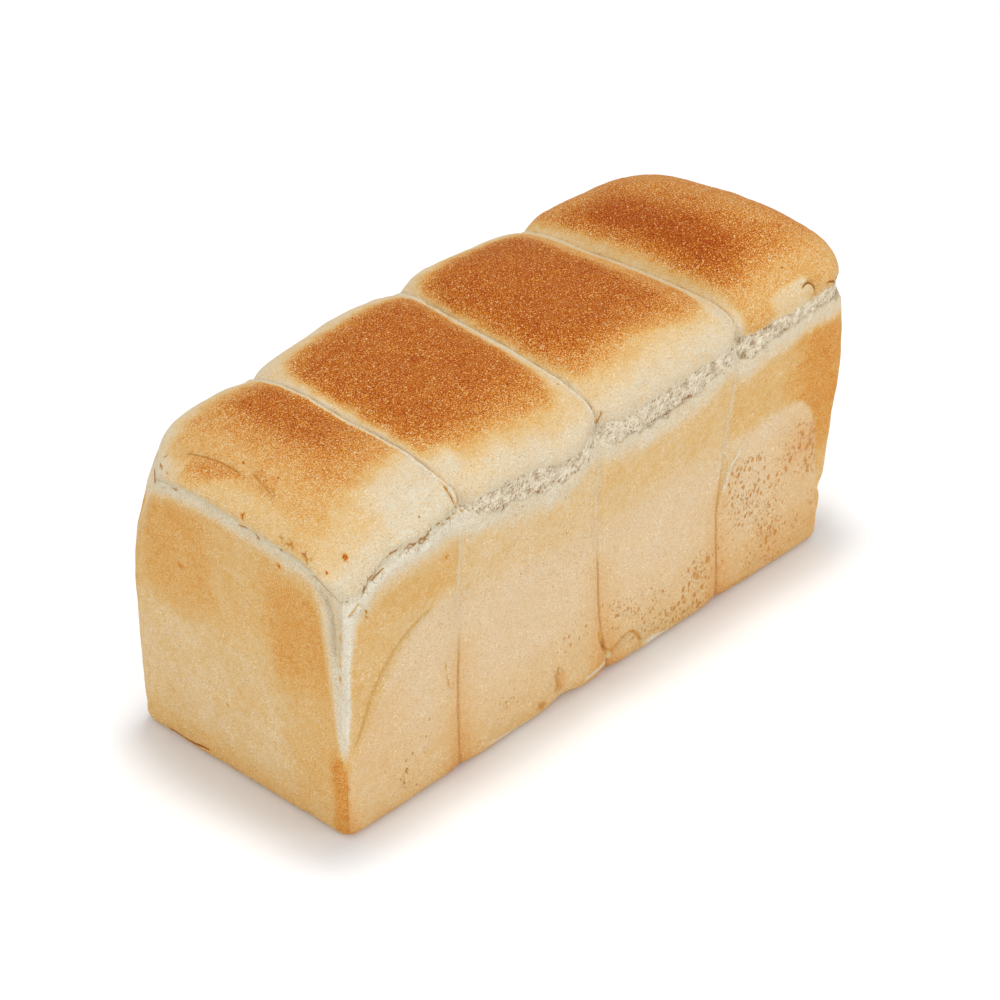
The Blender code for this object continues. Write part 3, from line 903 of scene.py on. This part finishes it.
def addCrownSeams(skin, places, crown):
    # The joins between the domes: a pale ridge beside a brown line
    seam, ridge = crownCrust["seam"], crownCrust["ridge"]
    near = smooth(*seam["seen"], places.reach)[crown]
    strength = seam["faint"] + seam["stronger"] * np.clip(rough(skin.laid[crown], 0.007, 33), -1, 1)
    past = places.pastSeam[crown] + unevenness(skin.laid[crown], seam["wander"])
    skin.addLine(crown, past + ridge["beside"], near * ridge["share"], ridge)
    skin.addLine(crown, past, near * strength, seam)


def makeCrownCrust():
    block, places, w = startPiece("crownCrust", crownCrust, (0,))
    crown, under = w > 1 - loafForm["flat"], 1 - w
    z, inset = shapeCrown(places, crown, under)
    points = places.lay(z, 1, inset, crown)
    outwards = layOnLoaf(block, points)
    faces = {"crown": crown, "front": crown & (places.v < 0)}
    skin = Skin(places, points, faces, points[:, 2] - places.tear)
    wobble = unevenness(points, crownCrust["wobble"])
    skin.addUnevenness(crownCrust["unevenness"])
    level = np.full(len(w), crownCrust["baking"])
    skin.baking = addPatches(level, crownBaking, places.u, places.across, wobble)
    addCrownTear(skin, crown, under)
    addCrownSeams(skin, places, crown)
    skin.addCreases()
    skin.addSpots()
    rimRelief = crownCrust["rimRelief"]
    skin.relief *= np.where(crown, 1, rimRelief + (1 - rimRelief) * skin.closed)
    skin.putOn(block, outwards)
    return block


# The torn crumb: what shows between the walls' upper edge and the crown's rim. It runs on behind both.
tornCrumb = {
    "cells": ((85, 8), (70, 4), (26,)),
    "edgeCrowding": 0.2,
    "lap": {"below": 0.0040, "above": 0.0010},
    "leastHeight": 0.001,
    "shown": {"below": (0.0034, 0.0014), "above": (0.0010, 0.0001)},
    "inset": {"foot": 0.20, "slope": 0.50, "hidden": 0.0015},
    "fibres": {"size": (0.0011, 0.0011, 0.0050), "depth": 0.00020, "lean": (0.9, 0.6)},
    "lumps": ((0.0026, 0.00026, 42),),
    "deep": 0.0012,
    "relief": (0.35, 1.2),
    # Painted shade: the crumb darkens where its relief sinks, from the first depth in metres to fully at the
    # second
    "hollow": (0.0001, -0.0006),
    # Holes, dented and darkened with painted shadow, gather along the band's lower edge under the wall's lip
    # and along its upper edge under the crown's rim
    "lowerHoleShadows": (0.14, 0.12),
    "upperHoleShadows": {"place": (0.93, 0.10), "share": 0.35, "more": (0.55, 0.50, 0.58)},
    "holeDepth": {"from": 0.0003, "over": 0.0010, "least": 0.2},
}


def makeTornCrumb():
    block, places, w = startPiece("tornCrumb", tornCrumb, (0, 1))
    lap, shown, sunk = tornCrumb["lap"], tornCrumb["shown"], tornCrumb["inset"]
    deep = bandAt(places, 2)
    tall = np.maximum(bandAt(places, 1), tornCrumb["leastHeight"])
    foot = places.tear - tall
    z = foot - lap["below"] + (tall + lap["below"] + lap["above"]) * w
    inBand = np.clip((z - foot) / tall, 0, 1)
    seen = smooth(*shown["below"], foot - z) * smooth(*shown["above"], z - places.tear)
    hidden = 1 - seen * (1 - closedShare(places))
    inset = deep * (sunk["foot"] + sunk["slope"] * inBand) + sunk["hidden"] * hidden
    points = places.lay(z, 1, inset)
    outwards = layOnLoaf(block, points)
    fibres, lean = tornCrumb["fibres"], (*tornCrumb["fibres"]["lean"], 0)
    slanted = (points - np.outer(points[:, 2], lean)) / fibres["size"]
    relief = fibres["depth"] * rough(slanted, 1, 41) + unevenness(points, tornCrumb["lumps"])
    relief *= np.clip(deep / tornCrumb["deep"], *tornCrumb["relief"])
    setPoints(block, points - formMiddle + outwards * relief[:, None])
    # Painted shade in the crumb's hollows: a mask that is full where its relief sinks, and stronger where the
    # band is deep
    setMask(block, "hollow", smooth(*tornCrumb["hollow"], relief) * np.clip(deep / tornCrumb["deep"], 0, 1))
    # Where the holes gather: along the band's lower and upper edges, where their dark colour is painted
    # shadow under the overhanging crust
    upper, depth = tornCrumb["upperHoleShadows"], tornCrumb["holeDepth"]
    share = upper["share"] + fade(upper["more"], places.u)
    holes = bump(inBand, *tornCrumb["lowerHoleShadows"]) + share * bump(inBand, *upper["place"])
    setMask(block, "holes", holes * np.clip((deep - depth["from"]) / depth["over"], depth["least"], 1))
    return block


def findFormMiddle():
    # The frame's box is centred in plan, so the form is moved by the middle of its own box
    steps = np.linspace(-1, 1, 161)
    u, v = (grid.ravel() for grid in np.meshgrid(steps, steps))
    places = Places(u, v, crownCrust["edgeCrowding"])
    points = places.lay(places.tear, 1, 0, True)
    low, high = points.min(axis=0), points.max(axis=0)
    cadLow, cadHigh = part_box("loaf")
    shift = (low + high) / 2 - (np.array(cadLow) + np.array(cadHigh)) / 2
    return np.array([shift[0], shift[1], 0])


# Materials

class Value:
    # Wraps a node's output, so that shader maths reads as Python
    def __init__(self, shader, socket):
        self.shader = shader
        self.socket = socket

    def maths(self, operation, other=None, swap=False):
        values = [self, other] if other is not None else [self]
        return self.shader.node("ShaderNodeMath", {"operation": operation}, values[::-1] if swap else values)

    def __add__(self, other): return self.maths("ADD", other)
    def __radd__(self, other): return self.maths("ADD", other)
    def __sub__(self, other): return self.maths("SUBTRACT", other)
    def __rsub__(self, other): return self.maths("SUBTRACT", other, swap=True)
    def __mul__(self, other): return self.maths("MULTIPLY", other)
    def __rmul__(self, other): return self.maths("MULTIPLY", other)
    def __abs__(self): return self.maths("ABSOLUTE")


class Shader:
    def __init__(self, name):
        self.material = bpy.data.materials.new(name)
        self.material.use_nodes = True
        self.tree = self.material.node_tree
        self.surface = self.tree.nodes["Principled BSDF"]

    def node(self, kind, settings=None, values=(), output=0):
        made = self.tree.nodes.new(kind)
        for key, setting in (settings or {}).items():
            if key == "stops":
                self.setStops(made.color_ramp, setting)
            else:
                setattr(made, key, setting)
        pairs = values.items() if isinstance(values, dict) else enumerate(values)
        for key, value in pairs:
            self.feed(made.inputs[key], value)
        return Value(self, made.outputs[output])

    def setStops(self, ramp, stops):
        while len(ramp.elements) < len(stops):
            ramp.elements.new(0.5)
        for element, (place, shade) in zip(ramp.elements, stops):
            element.position = place
            element.color = shade

    def feed(self, socket, value):
        if isinstance(value, Value):
            self.tree.links.new(value.socket, socket)
        else:
            socket.default_value = value

    def mask(self, name):
        return self.node("ShaderNodeAttribute", {"attribute_name": name}, output="Fac")

    def coordinates(self):
        return self.node("ShaderNodeTexCoord", output="Object")

    def stretched(self, sizes, lean=0):
        # Coordinates for noise whose features are so many metres across, leaning towards +X as they rise
        turn = (0, math.radians(lean), 0)
        values = {"Vector": self.coordinates(), "Rotation": turn, "Scale": sizes}
        return self.node("ShaderNodeMapping", {"vector_type": "TEXTURE"}, values)

    def noise(self, scale, detail=2, roughness=0.5, vector=None):
        values = {"Vector": vector or self.coordinates(), "Scale": scale, "Detail": detail}
        return self.node("ShaderNodeTexNoise", {}, {**values, "Roughness": roughness}, output="Fac")

    def waver(self, scale, detail=2, roughness=0.5):
        # Noise about nought
        return self.noise(scale, detail, roughness) - 0.5

    def streaks(self, sizes, lean, detail=3, roughness=0.6):
        return self.noise(1, detail, roughness, self.stretched(sizes, lean))

    def cells(self, scale, vector=None):
        values = {"Vector": vector or self.coordinates(), "Scale": scale}
        return self.node("ShaderNodeTexVoronoi", {}, values, output="Distance")

    def step(self, value, low, high):
        settings = {"interpolation_type": "SMOOTHSTEP"}
        return self.node("ShaderNodeMapRange", settings, {"Value": value, "From Min": low, "From Max": high})

    def ramp(self, stops, level):
        return self.node("ShaderNodeValToRGB", {"stops": stops}, [level], output="Color")

    def blend(self, share, first, second):
        # A Mix node's colours are its sockets 6 and 7, and its blend is output 2
        values = {"Factor": share, 6: first, 7: second}
        return self.node("ShaderNodeMix", {"data_type": "RGBA"}, values, output=2)

    def finish(self, shade, height, surface):
        # The colour, the sheen, and fine relief whose depth is in metres
        inputs = self.surface.inputs
        self.feed(inputs["Base Color"], shade)
        self.feed(inputs["Roughness"], surface["roughness"])
        self.feed(inputs["Specular IOR Level"], surface["sheen"])
        values = {"Strength": surface["strength"], "Distance": surface["depth"], "Height": height}
        self.feed(inputs["Normal"], self.node("ShaderNodeBump", {}, values))
        return self.material


def colour(red, green, blue):
    # A colour as it is seen, from 0 to 255, as the linear one that a shader takes
    def linear(value):
        value = value / 255
        return value / 12.92 if value <= 0.04045 else ((value + 0.055) / 1.055) ** 2.4
    return (linear(red), linear(green), linear(blue), 1)


crustColours = {
    "baking": (
        (0.00, colour(234, 227, 210)),
        (0.15, colour(219, 206, 179)),
        (0.30, colour(225, 197, 152)),
        (0.45, colour(220, 180, 115)),
        (0.60, colour(216, 156, 74)),
        (0.73, colour(203, 124, 30)),
        (0.87, colour(185, 92, 11)),
        (1.00, colour(148, 54, 6)),
    ),
    "panel": colour(229, 200, 165),
    "crumb": colour(226, 213, 180),
    "hair": colour(182, 150, 106),
    "crack": colour(136, 92, 50),
    "pit": colour(205, 140, 62),
    "pore": colour(190, 142, 86),
    "fleck": colour(242, 226, 192),
    "speck": colour(110, 52, 16),
}


# How the crusts' grain looks: sizes are in metres, and a step is where a noise begins to show and shows fully
crustGrain = {
    "flecks": {"sizes": (0.0006, 0.0006, 0.0009), "lean": 60, "step": (0.60, 0.68)},
    "paleFlecks": {"sizes": (0.0006, 0.0006, 0.0009), "lean": -30, "step": (0.55, 0.69)},
    "hairs": {"sizes": (0.0006, 0.0006, 0.0014), "lean": 30, "step": (0.52, 0.66), "share": 0.6},
    "pores": {"step": (0.53, 0.67), "lessOnBrown": 0.6},
    "specks": {"step": (0.022, 0.034), "share": 0.7},
    "pits": {"soft": (-0.08, 0.04), "share": 0.85},
    "panelTint": 0.40,
    "crack": {"step": (0.56, 0.84), "share": 0.75},
    "surface": {"roughness": 0.75, "sheen": 0.12, "strength": 0.8, "depth": 0.0006},
}
tinFinish = {"grain": 0.6, "mottle": 0.28, "flecks": 0.12, "pores": 0.50,
             "pits": (((0.0010, 0.0010, 0.0017), 0, 0.50), ((0.0021, 0.0021, 0.0034), 0.04, 0.56))}
crownFinish = {"grain": 1.5, "mottle": 0.28, "flecks": 0.40, "pores": 0.45, "pits": ()}


def crustLevel(shader, finish, grain, browned, line):
    # How far each spot is baked: mottled, grainy where it is brown, and drawn over by creases and seams
    mottle = shader.waver(320, 4, 0.6) * finish["mottle"] + shader.waver(90, 3, 0.5) * 0.16
    level = shader.mask("baking") + mottle * (1.05 - browned * 0.45)
    level = level + grain * (browned * finish["grain"] + 0.55)
    flecks = crustGrain["flecks"]
    pale = shader.step(shader.streaks(flecks["sizes"], flecks["lean"], 1, 0.5), *flecks["step"])
    blisters = 1 - shader.step(shader.cells(300), 0.06, 0.15)
    level = level - (pale + blisters) * browned * finish["flecks"]
    return level + (shader.mask("lineLevel") - level) * line


def crustPits(shader, finish):
    # Pits that steam left in the panels: cells of two sizes, some of them chosen by chance
    pits = 0
    for sizes, fewer, most in finish["pits"]:
        pitted = shader.stretched(sizes)
        chance = shader.node("ShaderNodeTexVoronoi", {}, {"Vector": pitted, "Scale": 1.0}, output="Color")
        reach = shader.mask("pits") * most - (chance + fewer) * 0.50
        pits = shader.step(reach - shader.cells(1.0, pitted), *crustGrain["pits"]["soft"]) + pits
    return pits


def crustMaterial(name, finish):
    shader = Shader(name)
    grain = shader.waver(2100, 2, 0.7)
    browned = shader.step(shader.mask("baking"), 0.30, 0.80)
    across = shader.mask("lineAcross") + shader.waver(700) * 1.6
    line = (1 - shader.step(abs(across), 0.3, 1.4)) * shader.mask("lineShare")
    shade = shader.ramp(crustColours["baking"], crustLevel(shader, finish, grain, browned, line))
    tint = shader.mask("panel") * (1 - line) * crustGrain["panelTint"]
    shade = shader.blend(tint, shade, crustColours["panel"])
    # Fine pores, pale flecks and a few burnt specks
    pores, flecks, specks = (crustGrain[key] for key in ("pores", "paleFlecks", "specks"))
    holes = shader.step(shader.noise(1800, 2, 0.6), *pores["step"]) * (1 - browned * pores["lessOnBrown"])
    shade = shader.blend(holes * finish["pores"], shade, crustColours["pore"])
    pale = shader.step(shader.streaks(flecks["sizes"], flecks["lean"], 2), *flecks["step"])
    patchy = shader.step(shader.noise(110), 0.40, 0.62) * 0.7 + 0.2
    shade = shader.blend(pale * patchy * (1 - browned), shade, crustColours["fleck"])
    burnt = 1 - shader.step(shader.cells(62), *specks["step"])
    shade = shader.blend(burnt * specks["share"], shade, crustColours["speck"])
    pits = crustPits(shader, finish)
    shade = shader.blend(pits * crustGrain["pits"]["share"], shade, crustColours["pit"])
    # Torn places, ragged where they meet the crust and with dark hairs, and the cracks
    hairs, crack = crustGrain["hairs"], crustGrain["crack"]
    torn = shader.step(shader.mask("torn") + shader.waver(600, 3, 0.6) * 1.6, 0.20, 0.90) * (1 - line)
    hairy = shader.step(shader.streaks(hairs["sizes"], hairs["lean"]), *hairs["step"])
    shade = shader.blend(torn, shade, crustColours["crumb"])
    shade = shader.blend(torn * hairy * hairs["share"], shade, crustColours["hair"])
    cracked = shader.step(shader.mask("lineLevel"), *crack["step"]) * line
    shade = shader.blend(cracked * crack["share"], shade, crustColours["crack"])
    height = grain * (torn * 1.5 + 1.5) + shader.waver(420, 3, 0.6) * 1.2
    height = height - line * 0.6 - pits - holes * 0.3
    return shader.finish(shade, height, crustGrain["surface"])


crumbLook = {
    "upright": {"sizes": (0.0006, 0.0006, 0.0035), "lean": 20},
    "lying": {"sizes": (0.0007, 0.0007, 0.0045), "lean": 80},
    "turned": (0.42, 0.56),
    # The crumb's level on its shades: the first part is painted shade in its hollows, the others are its own
    # fibres, grain and lumps
    "level": {"hollow": 0.55, "fibres": 1.7, "grain": 1.4, "lumps": 1.2, "base": 0.42},
    # Holes: dents in the crumb whose dark brown colour is painted shadow inside them
    "holes": {"sizes": (0.0007, 0.0007, 0.0013), "lean": 30, "gathered": (0.42, 0.60), "more": 0.17,
              "step": (0.62, 0.69), "colour": colour(150, 98, 38), "share": 0.9},
    "shades": ((0.0, colour(230, 219, 196)), (0.45, colour(210, 196, 170)), (1.0, colour(164, 138, 104))),
    "surface": {"roughness": 0.85, "sheen": 0.1, "strength": 0.7, "depth": 0.0008},
}


def crumbMaterial():
    shader = Shader("tornCrumb")
    upright, lying = (shader.streaks(**crumbLook[key]) for key in ("upright", "lying"))
    turned = shader.step(shader.noise(170), *crumbLook["turned"])
    fibres = upright * (1 - turned) + lying * turned
    grain = shader.noise(1500, 2, 0.6)
    parts, look = crumbLook["level"], crumbLook["holes"]
    # The crumb's colour: darker in its hollows as painted shade, and streaked by its fibres, grain and lumps
    level = shader.mask("hollow") * parts["hollow"] + (fibres - 0.5) * parts["fibres"]
    level = level + (grain - 0.5) * parts["grain"] + shader.waver(260) * parts["lumps"] + parts["base"]
    # Holes: the crumb dips in them, and their dark colour is painted shadow, gathered along the band's edges
    gathered = shader.step(shader.noise(230), *look["gathered"])
    ragged = shader.streaks(look["sizes"], look["lean"], 2) + shader.mask("holes") * gathered * look["more"]
    holes = shader.step(ragged, *look["step"])
    shade = shader.blend(holes * look["share"], shader.ramp(crumbLook["shades"], level), look["colour"])
    return shader.finish(shade, fibres + grain * 0.4 - holes, crumbLook["surface"])


# The stage: floor, light and camera

stage = {
    "floorSide": 6.0,
    "floorColour": colour(248, 249, 251),
    "floorRoughness": 0.9,
    "azimuth": -47.05,
    "elevation": 34.14,
    "distance": 1.6,
    "target": (0.0118, 0.0106, 0.0483),
    "lampTarget": (0, 0, 0.06),
    "lampTint": (1.0, 0.995, 0.985),
    "lens": 147.9,
    "sensor": 36,
    "ambient": 0.65,
    "ambientTint": (0.985, 0.99, 1.0),
    "overheadLamp": {"place": (0.05, 0.06, 1.5), "side": 0.30, "watts": 10.7},
    "endFill": {"place": (-1.7, -0.35, 0.34), "side": 0.9, "watts": 10.4},
    "sideFill": {"place": (0.7, -1.7, 0.34), "side": 0.9, "watts": 12.6},
}


def aimAt(thing, target):
    thing.rotation_euler = (Vector(target) - thing.location).to_track_quat("-Z", "Y").to_euler()


def addAreaLight(name, light):
    deselectAll()
    bpy.ops.object.light_add(type="AREA", location=light["place"])
    lamp = bpy.context.object
    lamp.name = name
    lamp.data.size = light["side"]
    lamp.data.energy = light["watts"]
    lamp.data.color = stage["lampTint"]
    aimAt(lamp, stage["lampTarget"])


def makeStage():
    deselectAll()
    bpy.ops.mesh.primitive_plane_add(size=stage["floorSide"], location=(0, 0, 0))
    floor = bpy.context.object
    floor.name = "floor"
    shader = Shader("paleFloor")
    shader.surface.inputs["Base Color"].default_value = stage["floorColour"]
    shader.surface.inputs["Roughness"].default_value = stage["floorRoughness"]
    floor.data.materials.append(shader.material)
    world = bpy.data.worlds.new("studio")
    bpy.context.scene.world = world
    world.use_nodes = True
    background = world.node_tree.nodes["Background"].inputs
    background["Color"].default_value = (*stage["ambientTint"], 1)
    background["Strength"].default_value = stage["ambient"]
    for name in ("overheadLamp", "endFill", "sideFill"):
        addAreaLight(name, stage[name])


def makeCamera():
    azimuth, elevation = math.radians(stage["azimuth"]), math.radians(stage["elevation"])
    back = Vector((
        math.sin(azimuth) * math.cos(elevation),
        -math.cos(azimuth) * math.cos(elevation),
        math.sin(elevation),
    ))
    bpy.ops.object.camera_add(location=Vector(stage["target"]) + back * stage["distance"])
    camera = bpy.context.object
    camera.name = "camera"
    camera.data.sensor_width = stage["sensor"]
    camera.data.lens = stage["lens"]
    aimAt(camera, stage["target"])
    bpy.context.scene.camera = camera


formMiddle = findFormMiddle()
print("form middle", formMiddle)
walls = makeTinCrust()
print("tin crust done")
crown = makeCrownCrust()
print("crown done")
crumb = makeTornCrumb()
print("torn crumb done")
finishPiece(walls, crustMaterial("tinCrust", tinFinish))
finishPiece(crown, crustMaterial("crownCrust", crownFinish))
finishPiece(crumb, crumbMaterial())
print("materials done")
makeStage()
makeCamera()
print("stage done")
